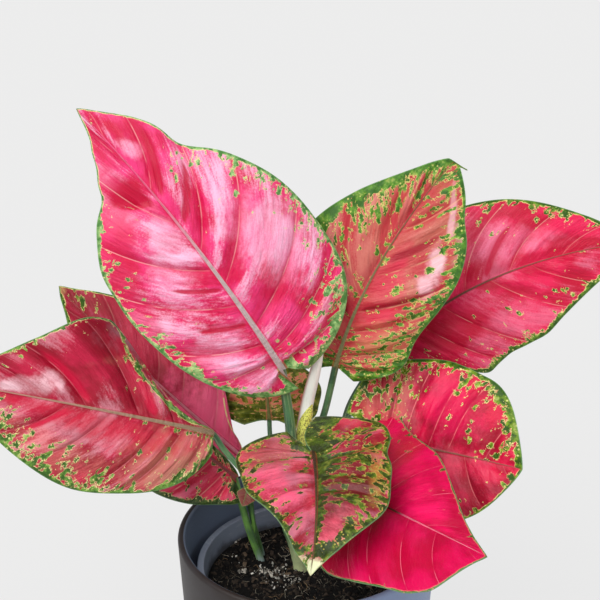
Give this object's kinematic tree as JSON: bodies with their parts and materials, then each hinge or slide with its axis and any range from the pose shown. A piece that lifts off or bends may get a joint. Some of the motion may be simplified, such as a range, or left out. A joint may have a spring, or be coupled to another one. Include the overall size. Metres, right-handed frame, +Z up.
{
  "type": "potted aglaonema",
  "caption": "Potted foliage plant with broad pink and green blotched leaves on upright stalks, in a nursery pot inside a dark tapered cover pot.",
  "frame": {"origin": "centre of the cover pot's flat base, on the surface it stands on", "axes": "+Z up, +X to the right as seen from the front, and the front looks along +Y"},
  "size_m": [0.3732, 0.1923, 0.358],
  "materials": {
    "cover_pot": "matt anthracite coating, slate blue inside",
    "nursery_pot": "thin grey moulded plastic",
    "soil": "dark loose potting mix with bark, fibres and white grains",
    "stalk": "smooth waxy green, paler at the foot",
    "new_leaf": "cream white, waxy",
    "leaf_pink": "glossy pink with green and cream freckles and a green margin",
    "leaf_salmon": "glossy salmon with many green and yellow freckles",
    "leaf_crimson": "glossy crimson with thin pale veins and a green margin",
    "leaf_dull": "satin, dull salmon and olive"
  },
  "bodies": {
    "root": {"cover_pot": "cover_pot", "nursery_pot": "nursery_pot", "soil": "soil", "shoot_front": "stalk", "shoot_left": "stalk", "shoot_right": "stalk", "new_leaf": "new_leaf", "blade_tall_left": "leaf_pink", "blade_tall_right": "leaf_salmon", "blade_far_right": "leaf_crimson", "blade_right": "leaf_crimson", "blade_front": "leaf_pink", "blade_front_right": "leaf_crimson", "blade_left": "leaf_pink", "blade_back_left": "leaf_crimson", "blade_low_left": "leaf_crimson", "blade_back": "leaf_dull", "blade_small": "leaf_dull"}
  },
  "joints": []
}
